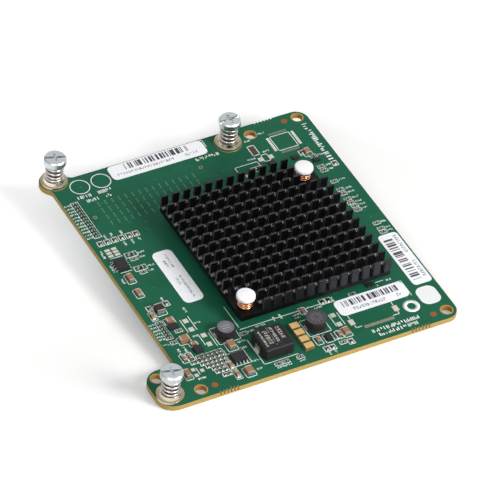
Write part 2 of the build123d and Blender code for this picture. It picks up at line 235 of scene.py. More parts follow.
def brushed(name, tone, rough, stretch=(1, 1, 14), scale=260, stain=110, spread=(0.9, 1.1), neckShade=None):
    paint = Paint(name, Metallic=1.0)
    lines = paint.noise(scale, detail=4.0, stretch=stretch)
    stains = paint.noise(stain, detail=2.0)
    colour = (stains * 0.6 + lines * 0.4).mix(*[shade(tone, share) for share in spread])
    # painted shade: a darker band on the shank between the heights in reach
    if neckShade:
        colour = paint.z.between(*neckShade["reach"]).mix(colour, neckShade["tone"])
    paint.feed(Base_Color=colour, Roughness=lines.span(*rough))
    return paint.bump(lines, finishSet["brushLift"], finishSet["brushDepth"]).material


# circuit board: solder mask, copper under it, bare rings, laminate edge
maskLook = {
    "deep": (0.0045, 0.078, 0.038), "pale": (0.0095, 0.116, 0.060), "trace": (0.0145, 0.145, 0.080),
    "via": (0.045, 0.185, 0.115), "tan": (0.46, 0.29, 0.10), "copper": (0.28, 0.098, 0.032),
    "plating": (0.40, 0.20, 0.045), "laminate": (0.36, 0.235, 0.062), "resin": (0.52, 0.375, 0.125),
    "rings": [(2.6, 3.8), (96.3, 3.8), (96.3, 109.4), (76.7, 107.8), (-8.6, 14.1)], "ringRadius": 2.32,
    "marks": [(7.8, 3.85), (91.2, 3.75), (91.1, 109.4)], "markRadius": 1.15,
    "skin": 0.03,  # depth below the top and underside that counts as flat
    "cloud": 38, "weave": 900, "zones": 95,  # scales of the patterns
    "lines": {"pitch": 0.62, "width": 0.4, "across": (0.12, 0.42), "along": (0.5, 0.8)},
    "bend": {"centre": (35, 66), "pitch": 0.66, "width": 0.45, "reach": (6.5, 17.5), "edge": 28.5},
    "vias": {"scale": 330, "jitter": 0.9, "size": 0.12, "patch": 55, "cover": 0.7},
    "ply": {"pitch": 0.25, "width": 0.3, "cover": 0.45}, "traceCover": 0.45,
    "specular": 0.18, "coat": 0.03, "coatRough": 0.3, "flatRough": (0.54, 0.64), "edgeRough": 0.68,
}


def solderMask(look):
    paint = Paint("solderMask", Specular_IOR_Level=look["specular"], Coat_Roughness=look["coatRough"])
    flat = (paint.z > -look["skin"]) + (paint.z < look["skin"] - board["thickness"])
    cloud = paint.noise(look["cloud"], detail=4.0)
    green = cloud.mix(look["deep"], look["pale"])
    zone = paint.start.node("ShaderNodeSeparateColor", {0: paint.cells(look["zones"], "Color")}, 0)
    lines, bend, via, ply = (look[key] for key in ("lines", "bend", "vias", "ply"))
    across = ((paint.y / lines["pitch"]).fract() < lines["width"]) * zone.between(*lines["across"])
    along = ((paint.x / lines["pitch"]).fract() < lines["width"]) * zone.between(*lines["along"])
    far = paint.far(*bend["centre"])
    arcs = ((far / bend["pitch"]).fract() < bend["width"]) * far.between(*bend["reach"])
    trace = (across + along).max(arcs * (paint.x < bend["edge"]))  # matched lines bend round the chip
    green = (trace * look["traceCover"]).mix(green, look["trace"])
    vias = paint.cells(via["scale"], "Distance", via["jitter"]) < via["size"]
    vias = vias * (paint.noise(via["patch"], detail=1.0) > 0.5)
    green = (vias * via["cover"]).mix(green, look["via"])
    weave = paint.noise(look["weave"], detail=2.0, stretch=(1, 1, 6))
    plies = ((paint.z / ply["pitch"]).fract() < ply["width"]) * ply["cover"] + weave * 0.5
    edge = plies.mix(look["laminate"], look["resin"])
    for place in look["rings"]:
        ring = paint.far(*place) < look["ringRadius"]
        green = ring.mix(green, look["tan"])
        edge = ring.mix(edge, look["plating"])
    for place in look["marks"]:
        green = (paint.far(*place) < look["markRadius"]).mix(green, look["copper"])
    rough = flat * (cloud.span(*look["flatRough"]) - look["edgeRough"]) + look["edgeRough"]
    paint.feed(Base_Color=flat.mix(edge, green), Roughness=rough, Coat_Weight=flat * look["coat"])
    return paint.bump(trace * 0.6 + vias + weave * (1 - flat), strength=0.25, depth=0.04).material


# paper labels with random bars and strokes
labelLooks = {  # left, right, front and back of each patch of print
    "rear_label": {"along": "x", "bars": (28.5, 53, 109, 111.9), "lines": [(24.2, 55.5, 106.8, 108)]},
    "left_label": {"along": "y", "bars": None,
                   "lines": [(18.8, 19.8, 43.5, 63), (20.6, 21.5, 43.5, 66)]},
    "front_label": {"along": "x", "bars": (64.8, 86, 18.6, 21.4), "lines": [(64, 86, 16.1, 17.5)]},
    "right_label": {"along": "y", "bars": (93, 96.4, 20.8, 42.2), "lines": [(97.3, 98.5, 20, 43)]},
}
paperLook = {
    "pale": (0.885, 0.90, 0.945), "bright": (0.945, 0.955, 0.995), "specular": 0.3, "rough": (0.5, 0.65),
    "fibre": 1400, "barInk": (0.02, 0.02, 0.035), "barCover": 0.95, "ink": (0.10, 0.10, 0.14),
    "inkCover": 0.75, "bar": 0.3, "barGaps": 0.36, "barSeed": 3.0, "group": 2.1, "groupGap": 0.12,
    "stroke": (0.3, 0.35), "strokeGaps": 0.4, "cluster": 1.05, "clusterGap": 0.25,
    "stretch": 4.2, "stretchGaps": 0.12,
}


def labelPaper(name, label, look):
    paint = Paint(name + "Paper", Specular_IOR_Level=look["specular"])
    run, rise = (paint.x, paint.y) if label["along"] == "x" else (paint.y, paint.x)
    fibre = paint.noise(look["fibre"], detail=4.0)
    tone = fibre.mix(look["pale"], look["bright"])
    if label["bars"]:
        bar = paint.chance((run / look["bar"]).floor(), look["barSeed"]) > look["barGaps"]
        apart = (run / look["group"]).fract() > look["groupGap"]
        tone = (paint.room(*label["bars"]) * bar * apart * look["barCover"]).mix(tone, look["barInk"])
    wide, tall = look["stroke"]
    for line in label["lines"]:
        stroke = paint.chance((run / wide).floor(), (rise / tall).floor()) > look["strokeGaps"]
        apart = (run / look["cluster"]).fract() > look["clusterGap"]
        kept = paint.chance((run / look["stretch"]).floor(), line[0]) > look["stretchGaps"]
        tone = (paint.room(*line) * stroke * apart * kept * look["inkCover"]).mix(tone, look["ink"])
    paint.feed(Base_Color=tone, Roughness=fibre.span(*look["rough"]))
    return paint.bump(fibre, strength=0.1, depth=0.03).material


# heat sink
sinkLook = {
    # the top, side and front-row tones are painted light: highlights on the fin tops, lighter fin sides, a
    # reflection on the front row's faces
    "deep": (0.0012, 0.0012, 0.0016), "dye": (0.004, 0.004, 0.005), "top": (0.058, 0.059, 0.066),
    "litSides": (0.088, 0.089, 0.097), "end": (0.036, 0.039, 0.046), "fine": 1500, "draw": 220,
    "steep": 0.7, "fins": 4.9, "crest": 9.97, "reflectionFront": 23.96, "reflectionFade": (44, 72, 0.15, 1.0),
    "lightShare": {"litSides": (0.3, 0.9), "end": (0.4, 1.0), "top": (0.35, 0.85)}, "roughSpread": 0.1,
}


def anodised(name, look, rough, shine):  # black dye with painted light: lighter fin sides, a painted reflection on the front row's faces, painted highlights on the tops
    paint = Paint(name, Specular_IOR_Level=shine)
    fine = paint.noise(look["fine"])
    draw = paint.noise(look["draw"], detail=3.0, stretch=(1, 9, 1))
    side = abs(paint.axis(0, paint.start.node("ShaderNodeTexCoord", output="Normal"))) > look["steep"]
    fins = paint.z > look["fins"]
    # painted light: where the lighter tones go, the front row's painted reflection growing to the right
    places = {
        "litSides": side * fins,
        "end": (paint.y < look["reflectionFront"]) * fins * paint.x.ramp(*look["reflectionFade"]),
        "top": paint.z > look["crest"],
    }
    tone = (draw * 0.7 + fine * 0.3).mix(look["deep"], look["dye"])
    for key, place in places.items():
        tone = (place * draw.span(*look["lightShare"][key])).mix(tone, look[key])
    paint.feed(Base_Color=tone, Roughness=fine.span(rough, rough + look["roughSpread"]))
    return paint.bump(fine * 0.6 + draw * 0.4, strength=0.12, depth=0.03).material


# drum chokes
drumLooks = {
    "left": {"centre": (22, 23.6), "top": 3.4, "lines": True,
             "tone": (0.165, 0.165, 0.195), "stripe": (0.44, 0.44, 0.49)},
    "right": {"centre": (51.6, 14.8), "top": 4.3, "lines": False,
              "tone": (0.062, 0.058, 0.064), "stripe": (0.165, 0.155, 0.165)},
}
ferriteLook = {
    "specular": 0.4, "grain": 700, "ring": 0.5, "ringShare": 0.25, "lip": 0.04, "dark": 0.72,
    "rough": (0.38, 0.58), "sideDark": (0.012, 0.012, 0.013), "sidePale": (0.035, 0.034, 0.035),
    "line": {"pitch": 1.1, "half": 0.17, "across": 1.7, "along": 1.6, "cover": (0.4, 0.9)},
    "spoke": {"turns": 1.75, "width": 0.42, "reach": (0.7, 2.3), "cover": (0.35, 0.95)},
}


def ferrite(name, drum, look):
    paint = Paint(name, Specular_IOR_Level=look["specular"])
    across = paint.x - drum["centre"][0]
    along = paint.y - drum["centre"][1]
    far = paint.far(*drum["centre"])
    fine = paint.noise(look["grain"])
    rings = (far / look["ring"]).fract() * look["ringShare"] + fine * (1 - look["ringShare"])
    colour = rings.mix(shade(drum["tone"], look["dark"]), drum["tone"])
    line, spoke = look["line"], look["spoke"]
    if drum["lines"]:
        mark = (abs((along / line["pitch"]).fract() - 0.5) < line["half"]) * fine.span(*line["cover"])
        mark = mark * (abs(across) < line["across"]) * (abs(along) < line["along"])
    else:
        mark = (paint.start.math("ARCTAN2", along, across) * spoke["turns"]).fract() < spoke["width"]
        mark = mark * far.between(*spoke["reach"]) * fine.span(*spoke["cover"])
    colour = mark.mix(colour, drum["stripe"])
    side = rings.mix(look["sideDark"], look["sidePale"])
    top = paint.z > drum["top"] - look["lip"]
    paint.feed(Base_Color=top.mix(side, colour), Roughness=rings.span(*look["rough"]))
    return paint.bump(rings, strength=0.2, depth=0.05).material


# power choke
chokeLook = {
    "tone": (0.010, 0.010, 0.011), "speck": (0.05, 0.05, 0.055), "ink": (0.50, 0.47, 0.42), "inkCover": 0.85,
    "specular": 0.3, "rough": (0.5, 0.7), "fine": 1300, "specks": 1500, "speckSize": 0.16, "top": 4.45,
    "stroke": 0.34, "strokeGaps": 0.36, "cluster": 1.15, "clusterGap": 0.22,
    "lines": [(29.6, 30.4, 8.6, 16.8), (31.1, 32.7, 9.4, 15.6), (33.2, 33.4, 8.2, 16.9),
              (34, 35.1, 8.8, 16.6), (36.2, 37.6, 10.2, 16)],
}


def pressedIron(look):
    paint = Paint("pressedIron", Specular_IOR_Level=look["specular"])
    fine = paint.noise(look["fine"], detail=4.0)
    tone = (paint.cells(look["specks"], "Distance") < look["speckSize"]).mix(look["tone"], look["speck"])
    across, along = ((place / look["stroke"]).floor() for place in (paint.x, paint.y))
    stroke = (paint.chance(across, along) > look["strokeGaps"]) * (paint.z > look["top"])
    apart = (paint.y / look["cluster"]).fract() > look["clusterGap"]
    for line in look["lines"]:
        tone = (paint.room(*line) * stroke * apart * look["inkCover"]).mix(tone, look["ink"])
    paint.feed(Base_Color=tone, Roughness=fine.span(*look["rough"]))
    return paint.bump(fine, strength=0.4, depth=0.06).material


# output capacitors
blockLooks = {
    # the side tones are painted shade
    "body": {"tone": (0.66, 0.43, 0.155), "side": (0.21, 0.115, 0.04), "metal": 0.0},
    "end": {"tone": (0.68, 0.50, 0.25), "side": (0.34, 0.215, 0.09), "metal": 0.35},
}
shadedSideLook = {
    "top": 1.36, "topSpread": (0.84, 1.12), "sideSpread": (0.8, 1.15), "grain": 1100, "rough": (0.34, 0.49),
    "specular": 0.4,
}


def shadedSideBlock(name, part, look):  # pale top, darker sides; the darker sides are painted shade between the blocks
    paint = Paint(name, Metallic=part["metal"], Specular_IOR_Level=look["specular"])
    fine = paint.noise(look["grain"])
    tops = fine.mix(*[shade(part["tone"], share) for share in look["topSpread"]])
    sides = fine.mix(*[shade(part["side"], share) for share in look["sideSpread"]])
    tone = (paint.z > look["top"]).mix(sides, tops)
    paint.feed(Base_Color=tone, Roughness=fine.span(*look["rough"]))
    return paint.bump(fine, strength=0.12, depth=0.05).material


paints = {
    "solderMask": solderMask(maskLook),
    "anodised": anodised("blackAnodised", sinkLook, rough=0.3, shine=0.15),
    "anodisedRoot": anodised("blackAnodisedRoot", sinkLook, rough=0.14, shine=1.0),
    "screwPlate": brushed("screwPlate", (0.60, 0.635, 0.65), (0.26, 0.40), stain=140, spread=(0.86, 1.1),
                          neckShade=screwNeckShade),
    "ferrule": brushed("ferrulePlate", (0.64, 0.58, 0.48), (0.14, 0.26)),
    "springWire": brushed("springWire", (0.58, 0.55, 0.52), (0.22, 0.34), (1, 1, 3)),
    "copperWire": brushed("copperWire", (0.80, 0.38, 0.20), (0.16, 0.28), (1, 1, 3)),
    "tin": brushed("tinnedEnds", (0.60, 0.58, 0.54), (0.32, 0.48), (1, 1, 1), 600),
    "tanEnd": shadedSideBlock("tanEnds", blockLooks["end"], shadedSideLook),
    "gold": brushed("goldContact", (0.80, 0.56, 0.22), (0.18, 0.3), (1, 1, 4)),
    "nylon": grain("whiteNylon", (0.93, 0.92, 0.94), 0.02, (0.3, 0.42), 1200, lift=0.06),
    "chip": grain("chipMoulding", (0.019, 0.018, 0.021), 0.3, (0.5, 0.66), 1500, lift=0.25,
                  Specular_IOR_Level=0.3),
    "brownCeramic": grain("brownCeramic", (0.33, 0.155, 0.075), 0.2, scale=1100),
    "tanCeramic": shadedSideBlock("tanCeramic", blockLooks["body"], shadedSideLook),
    "tantalum": grain("tantalumMoulding", (0.030, 0.017, 0.014), 0.2, (0.4, 0.55), 1300,
                      Specular_IOR_Level=0.3),
    "winding": grain("windingCoat", (0.012, 0.011, 0.012), 0.3, (0.35, 0.6), 700, lift=0.5),
    "substrate": grain("chipSubstrate", (0.03, 0.085, 0.045), 0.15, scale=800),
    "lid": brushed("chipLid", (0.6, 0.6, 0.58), (0.25, 0.38), (9, 1, 1)),
    "pad": grain("thermalPad", (0.42, 0.44, 0.46), 0.08, (0.7, 0.85), 1000),
    "connector": grain("connectorMoulding", (0.018, 0.018, 0.019), 0.25, (0.4, 0.55), 1200),
    "ink": grain("whiteInk", (0.82, 0.85, 0.84), 0.05, (0.5, 0.65), 1600),
    "solder": grain("solderPads", (0.66, 0.62, 0.55), 0.14, (0.3, 0.45), metal=0.35),
    "brightPad": grain("brightPads", (0.84, 0.83, 0.81), 0.1, metal=0.1),
    "dullPad": grain("dullPads", (0.28, 0.26, 0.24), 0.14, metal=0.5),
    "tented": grain("tentedVia", (0.10, 0.225, 0.16), 0.15, (0.4, 0.55), Specular_IOR_Level=0.25),
    "bareTan": grain("bareRing", (0.20, 0.20, 0.09), 0.2, (0.4, 0.55), metal=0.2),
    "pinkPad": grain("tinnedRow", (0.52, 0.41, 0.33), 0.15, metal=0.2),
    "barePad": grain("bareCopperPad", (0.11, 0.035, 0.02), 0.2, metal=0.4),
    "choke": pressedIron(chokeLook),
    "drumLeft": ferrite("ferriteLeft", drumLooks["left"], ferriteLook),
    "drumRight": ferrite("ferriteRight", drumLooks["right"], ferriteLook),
}

nodePaints = {
    "solderMask": ["circuit_board"], "anodised": ["heat_sink"], "pad": ["thermal_pad"],
    "substrate": ["controller_chip"], "lid": ["controller_chip_lid"], "ferrule": ["screw_ferrules"],
    "connector": ["mezzanine_connector"], "gold": ["mezzanine_contacts"], "choke": ["power_choke"],
    "drumLeft": ["drum_choke_left"], "drumRight": ["drum_choke_right"], "tantalum": ["tantalum_capacitor"],
    "tanCeramic": ["output_capacitors"], "tanEnd": ["output_capacitor_terminals"],
    "nylon": ["push_pin_front", "push_pin_rear"],
    "copperWire": ["push_pin_spring_front", "push_pin_spring_rear"],
    "screwPlate": ["captive_screw_rear_left", "captive_screw_rear", "captive_screw_front"],
    "springWire": ["screw_spring_rear_left", "screw_spring_rear", "screw_spring_front"],
    "winding": ["drum_choke_winding_left", "drum_choke_winding_right"],
    "chip": ["memory_chip", "regulator_chip", "supervisor_chip", "sequencer_chip", "switch_chip"],
    "brownCeramic": ["ceramic_capacitors", "bypass_capacitors"],
    "tin": ["power_choke_terminals", "drum_choke_terminals", "chip_leads", "tantalum_terminals",
            "ceramic_capacitor_terminals"],
}


def dressNode(name, material):
    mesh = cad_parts[name].data
    mesh.materials.clear()
    mesh.materials.append(material)


for paintName, nodeNames in nodePaints.items():
    for nodeName in nodeNames:
        dressNode(nodeName, paints[paintName])
for nodeName, label in labelLooks.items():
    dressNode(nodeName, labelPaper(nodeName.replace("_label", "Label"), label, paperLook))
print("finishes made:", len(paints) + len(labelLooks))


# geometry trees for what repeats
def newTree(name, inputs):
    tree = bpy.data.node_groups.new(name, "GeometryNodeTree")
    tree.interface.new_socket("Geometry", in_out="INPUT", socket_type="NodeSocketGeometry")
    for label in inputs:
        tree.interface.new_socket(label, in_out="INPUT", socket_type="NodeSocketFloat")
    tree.interface.new_socket("Material", in_out="INPUT", socket_type="NodeSocketMaterial")
    tree.interface.new_socket("Geometry", in_out="OUTPUT", socket_type="NodeSocketGeometry")
    source = tree.nodes.new("NodeGroupInput")
    return tree, {s.name: Wire(tree, s) for s in source.outputs if s.name}


def vector(wire, x=0.0, y=0.0, z=0.0):
    return wire.node("ShaderNodeCombineXYZ", {0: x, 1: y, 2: z})


def moved(shape, x=0.0, y=0.0, z=0.0):
    values = {"Geometry": shape, "Translation": vector(shape, x, y, z)}
    return shape.node("GeometryNodeTransform", values)


def joined(*shapes):
    tree = shapes[0].tree
    join = tree.nodes.new("GeometryNodeJoinGeometry")
    for shape in shapes:
        tree.links.new(shape.link, join.inputs[0])
    return Wire(tree, join.outputs[0])


def scatter(tree, w, shape):  # the shape at every vertex, turned by the vertex's own angle, and painted
    turn = shape.node("GeometryNodeInputNamedAttribute", {"Name": "turn"})
    spin = shape.node("FunctionNodeEulerToRotation", {0: vector(shape, z=turn)})
    dots = shape.node("GeometryNodeMeshToPoints", {0: w["Geometry"]})
    values = {"Points": dots, "Instance": shape, "Rotation": spin}
    copies = shape.node("GeometryNodeInstanceOnPoints", values)
    whole = shape.node("GeometryNodeRealizeInstances", {0: copies})
    painted = shape.node("GeometryNodeSetMaterial", {"Geometry": whole, "Material": w["Material"]})
    end = tree.nodes.new("NodeGroupOutput")
    tree.links.new(painted.link, end.inputs[0])
    return tree


def block(w):  # standing on its foot
    size = vector(w["Length"], w["Length"], w["Width"], w["Height"])
    return moved(size.node("GeometryNodeMeshCube", {"Size": size}), z=w["Height"] * 0.5)


def drawn(path, width, height):  # a flat bar drawn along a path, on its foot
    bar = path.node("GeometryNodeCurvePrimitiveQuadrilateral", {"Width": width, "Height": height})
    line = path.node("GeometryNodeCurveToMesh", {"Curve": path, "Profile Curve": bar})
    return moved(line, z=height * 0.5)


def blockTree():  # one block standing at each point
    tree, w = newTree("standingBlock", ["Length", "Width", "Height"])
    return scatter(tree, w, block(w))


def pairTree():  # two blocks at each point, a span apart, for chip ends and pads
    tree, w = newTree("blockPair", ["Length", "Width", "Height", "Span"])
    half = (w["Span"] - w["Length"]) * 0.5
    one = block(w)
    return scatter(tree, w, joined(*[moved(one, half * side) for side in (-1, 1)]))


def frameTree():  # a printed outline round each point
    tree, w = newTree("printedFrame", ["Length", "Width", "Line", "Height"])
    sizes = {"Width": w["Length"], "Height": w["Width"]}
    path = w["Length"].node("GeometryNodeCurvePrimitiveQuadrilateral", sizes)
    path = path.node("GeometryNodeSetCurveNormal", {"Curve": path}, mode="Z_UP")
    return scatter(tree, w, drawn(path, w["Line"], w["Height"]))


def ringTree():  # a flat ring round each point
    tree, w = newTree("flatRing", ["Outer", "Inner", "Height", "Sides"])
    sides = w["Sides"].node("FunctionNodeFloatToInt", {0: w["Sides"]})
    middle = (w["Outer"] + w["Inner"]) * 0.5
    path = middle.node("GeometryNodeCurvePrimitiveCircle", {"Resolution": sides, "Radius": middle})
    return scatter(tree, w, drawn(path, w["Outer"] - w["Inner"], w["Height"]))


def coilTree():  # round wire wound upwards, with both end turns laid flat
    tree, w = newTree("woundWire", ["Radius", "Wire", "Turns", "Rise", "Flat"])
    one = w["Radius"]
    sizes = {"Resolution": 40, "Rotations": w["Turns"], "Start Radius": one, "End Radius": one, "Height": 0.0}
    path = one.node("GeometryNodeCurveSpiral", sizes)
    lift = one.node("GeometryNodeSplineParameter").ramp(w["Flat"], 1 - w["Flat"], 0.0, w["Rise"])
    raised = one.node("GeometryNodeSetPosition", {"Geometry": path, "Offset": vector(one, z=lift)})
    loop = one.node("GeometryNodeCurvePrimitiveCircle", {"Resolution": 12, "Radius": w["Wire"] * 0.5})
    swept = {"Curve": raised, "Profile Curve": loop, "Fill Caps": True}
    wire = one.node("GeometryNodeCurveToMesh", swept)
    smooth = one.node("GeometryNodeSetShadeSmooth", {0: wire})
    return scatter(tree, w, moved(smooth, z=w["Wire"] * 0.5))


def rootTree():  # a hollow root fillet at each fin's foot
    tree, w = newTree("rootFillet", ["Length", "Radius", "Depth"])
    one = w["Radius"]
    sizes = {"Size X": w["Length"], "Size Y": one, "Vertices X": 2, "Vertices Y": 9}
    sheet = one.node("GeometryNodeMeshGrid", sizes)
    place = one.node("GeometryNodeInputPosition")
    reach = one.node("ShaderNodeSeparateXYZ", {0: place}, 1) + one * 0.5
    drop = one.math("SQRT", (one * one - reach * reach).max(0.0))
    rise = vector(one, z=one - drop - w["Depth"])
    under = one.node("GeometryNodeSetPosition", {"Geometry": sheet, "Offset": rise})
    upwards = {"Mesh": under, "Offset": vector(one, z=1.0), "Offset Scale": w["Depth"], "Individual": False}
    upper = one.node("GeometryNodeExtrudeMesh", upwards, mode="FACES")
    tops = Wire(tree, upper.link.node.outputs["Top"])
    smooth = one.node("GeometryNodeSetShadeSmooth", {"Geometry": upper, "Selection": tops})
    solid = joined(smooth, one.node("GeometryNodeFlipFaces", {0: under}))
    solid = one.node("GeometryNodeMergeByDistance", {"Geometry": solid, "Distance": 0.000001})
    return scatter(tree, w, moved(solid, y=one * -0.5))


trees = {
    "root": rootTree(), "block": blockTree(), "pair": pairTree(),
    "frame": frameTree(), "ring": ringTree(), "coil": coilTree(),
}
print("geometry trees made:", len(trees))


def grow(name, tree, points, sizes, material, body="card"):  # points are x, y, z and a turn in degrees
    mesh = bpy.data.meshes.new(name)
    mesh.from_pydata([onBoard(x, y, z) for x, y, z, turn in points], [], [])
    turns = mesh.attributes.new("turn", "FLOAT", "POINT")
    turns.data.foreach_set("value", [math.radians(turn) for x, y, z, turn in points])
    piece = newObject(name, mesh)
    modifier = piece.modifiers.new("repeat", "NODES")
    modifier.node_group = trees[tree]
    names = {s.name: s.identifier for s in trees[tree].interface.items_tree if s.in_out == "INPUT"}
    for key, value in sizes.items():
        modifier[names[key]] = float(value)
    modifier[names["Material"]] = material
    shown = bpy.data.meshes.new_from_object(piece.evaluated_get(bpy.context.evaluated_depsgraph_get()))
    piece.modifiers.remove(modifier)
    piece.data = shown
    shown.name = name
    bpy.data.meshes.remove(mesh)
    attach(piece, body)
    return piece


def mm(**sizes):  # millimetre sizes as metres
    return {key: value / perMetre for key, value in sizes.items()}


# springs of round wire
springSet = {
    "radius": 2.8, "wire": 0.88, "turns": 4.2, "flat": 0.1, "foot": 2.1, "length": 6.7, "travel": 2.8,
}
screwPlaces = {"rear_left": (2.7, 113.4, -60), "rear": (67.4, 107.2, 40), "front": (-8, 5.6, 20)}
pinSet = {"radius": 2.35, "wire": 0.6, "turns": 4.6, "foot": 4.8, "length": 3.5, "flat": 0.1, "start": 130}
pinPlaces = {"front": (32, 29), "rear": (80.4, 77)}


def woundSpring(name, spec, x, y, turn, material, body):
    sizes = mm(Radius=spec["radius"], Wire=spec["wire"], Rise=spec["length"] - spec["wire"])
    sizes.update(Turns=spec["turns"], Flat=spec["flat"])
    return grow(name, "coil", [(x, y, spec["foot"], turn)], sizes, material, body)


for key, (x, y, turn) in screwPlaces.items():
    coil = woundSpring("screwSpring_" + key, springSet, x, y, turn, paints["springWire"], "spring_" + key)
    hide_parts("screw_spring_" + key)
    "press_" + key
    onBoard(x, y, springSet["foot"])
    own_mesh(coil)

for key, (x, y) in pinPlaces.items():
    coil = woundSpring("pinSpring_" + key, pinSet, x, y, pinSet["start"], paints["copperWire"], "card")
    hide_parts("push_pin_spring_" + key)
print("springs wound:", len(screwPlaces) + len(pinPlaces))


# push pins: flat heads with softened rims, shafts, two springy prongs each
pinShape = {
    "profile": [(0, 9.9), (2.7, 9.9), (3.02, 9.83), (3.22, 9.65), (3.3, 9.4), (3.3, 8.5), (3.15, 8.3),
                (1.5, 8.3), (1.5, -2.2), (0, -2.2)],  # radius and height
    "prong": [(0.3, -2.2), (2.0, -2.2), (0.9, -5.0), (0.3, -5.0)], "halves": (-1.1, 1.1),
    "steps": 48, "soften": 40,
}


def turnedShape(made, profile, steps, x, y):
    angles = [2 * math.pi * i / steps for i in range(steps)]
    rings = []
    for radius, z in profile:
        around = angles if radius else [0]
        places = [(x + radius * math.cos(a), y + radius * math.sin(a)) for a in around]
        rings.append([made.verts.new(onBoard(*place, z)) for place in places])
    for upper, lower in zip(rings, rings[1:]):
        for i in range(steps):
            j = (i + 1) % steps
            corners = [upper[i % len(upper)], lower[i % len(lower)]]
            corners += [lower[j % len(lower)], upper[j % len(upper)]]
            made.faces.new(list(dict.fromkeys(corners)))


def walled(made, *outlines):  # two outlines closed into a solid
    low, high = ([made.verts.new(onBoard(*place)) for place in outline] for outline in outlines)
    made.faces.new(low[::-1])
    made.faces.new(high)
    for i in range(len(low)):
        j = (i + 1) % len(low)
        made.faces.new((low[i], low[j], high[j], high[i]))


def settle(made, name, material, soften=None):  # a plain mesh from what was drawn
    bmesh.ops.recalc_face_normals(made, faces=made.faces)
    mesh = bpy.data.meshes.new(name)
    made.to_mesh(mesh)
    made.free()
    mesh.materials.append(material)
    if soften:
        for face in mesh.polygons:
            face.use_smooth = True
        mesh.set_sharp_from_angle(angle=math.radians(soften))
    piece = newObject(name, mesh)
    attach(piece, "card")
    return piece


for key, (x, y) in pinPlaces.items():
    shape = bmesh.new()
    turnedShape(shape, pinShape["profile"], pinShape["steps"], x, y)
    for side in (-1, 1):
        prong = [(x + side * out, z) for out, z in pinShape["prong"]]
        walled(shape, *[[(out, y + half, z) for out, z in prong] for half in pinShape["halves"]])
    pin = settle(shape, "pushPin_" + key, paints["nylon"], pinShape["soften"])
    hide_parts("push_pin_" + key)


# heat sink: a hollow root fillet at the front and back foot of every fin
rootSet = {
    "first": (29.15, 24.3), "pitch": (4.2231, 4.4769), "count": 14, "floor": 4.8, "half": 0.4,
    "length": 2.5, "radius": 0.9, "depth": 0.1,
    "clear": [(0, 1, 0, 2), (12, 13, 11, 13)],  # columns and rows without fins
}


def finFeet(spec):
    feet = []
    for c in range(spec["count"]):
        for r in range(spec["count"]):
            if not any(c0 <= c <= c1 and r0 <= r <= r1 for c0, c1, r0, r1 in spec["clear"]):
                x = spec["first"][0] + spec["pitch"][0] * c
                y = spec["first"][1] + spec["pitch"][1] * r
                feet += [(x, y - spec["half"], spec["floor"], 0)] * (r > 0)
                feet += [(x, y + spec["half"], spec["floor"], 180)] * (r < spec["count"] - 1)
    return feet


rootSizes = mm(Length=rootSet["length"], Radius=rootSet["radius"], Depth=rootSet["depth"])
grow("finRoots", "root", finFeet(rootSet), rootSizes, paints["anodisedRoot"])
print("fin roots laid")


# small chip parts: bodies, metal ends, pads and printed outlines
def run(x, y, stepX, stepY, count, turn, z=0.0):
    return [(x + stepX * i, y + stepY * i, z, turn) for i in range(count)]


def spots(turn, *places):
    return [(x, y, 0.0, turn) for x, y in places]


filmSet = {"pad": 0.05, "print": 0.03, "padLength": 1.4, "padWidth": 1.1, "padSpan": 1.35}
chipSets = {
    "field": {
        "size": (1, 0.5, 0.35), "end": 0.25, "frame": (1.6, 1.65), "line": 0.34, "paint": "chip",
        "places": run(8.8, 17.4, 1.6, 0, 6, 90) + run(5.8, 15.8, 1.6, 0, 8, 90)
        + run(8.6, 14.1, 1.6, 0, 6, 90) + run(9.8, 12.4, 1.6, 0, 5, 90)
        + run(11.2, 10.7, 1.6, 0, 3, 90) + run(11.6, 9, 1.6, 0, 3, 90)
        + spots(90, (13.2, 6.7), (14.9, 6.7)),
    },
    "row": {
        "size": (1.1, 0.6, 0.4), "end": 0.28, "frame": (2.5, 1.5), "line": 0.28, "paint": "chip",
        "places": run(4.1, 29.4, 0, 1.5, 6, 0)
        + spots(0, (92.3, 75), (92.2, 70.5), (92.2, 68.3), (92.2, 65.3), (92.3, 63.1), (92.8, 61.3))
        + spots(0, (92.8, 59.2), (95.5, 50.7), (95.5, 47.7), (95.5, 46), (8.5, 31.2), (27.9, 21.3))
        + spots(0, (31.7, 4), (34.6, 4), (40, 4), (70.5, 23.2), (10.6, 68.1), (10.6, 61))
        + spots(0, (91.7, 83.6), (91.8, 81.4), (91.8, 89.3), (4.5, 26.8), (56.5, 4.3)),
    },
    "cell": {
        "size": (1.3, 0.8, 0.45), "end": 0.3, "frame": (2.4, 2), "line": 0.36, "paint": "chip",
        "places": run(3.4, 79, 2.7, 0, 6, 90)
        + spots(90, (4.3, 44.3), (10.6, 44.4), (50, 3.7), (52.2, 3.7), (97, 83.2))
        + spots(90, (59.3, 24), (61.6, 24), (89, 92.5), (59.2, 3.6)),
    },
    "ladder": {
        "size": (1, 0.6, 0.4), "end": 0.25, "frame": (2.7, 1.57), "line": 0.34, "paint": "chip",
        "places": run(4.15, 82.9, 0, 1.57, 12, 0),
    },
    "tall": {
        "size": (2.4, 1.2, 0.8), "end": 0.4, "frame": (4.2, 2.1), "line": 0.24, "paint": "brownCeramic",
        "places": spots(90, (16.9, 5), (16.8, 9.7), (3.6, 40.5)),
    },
    "wide": {
        "size": (1.7, 0.9, 0.6), "end": 0.35, "frame": (4.4, 2.3), "line": 0.34, "paint": "chip",
        "places": spots(0, (10.6, 70.3), (10.6, 63.2), (70.7, 91.2)),
    },
}
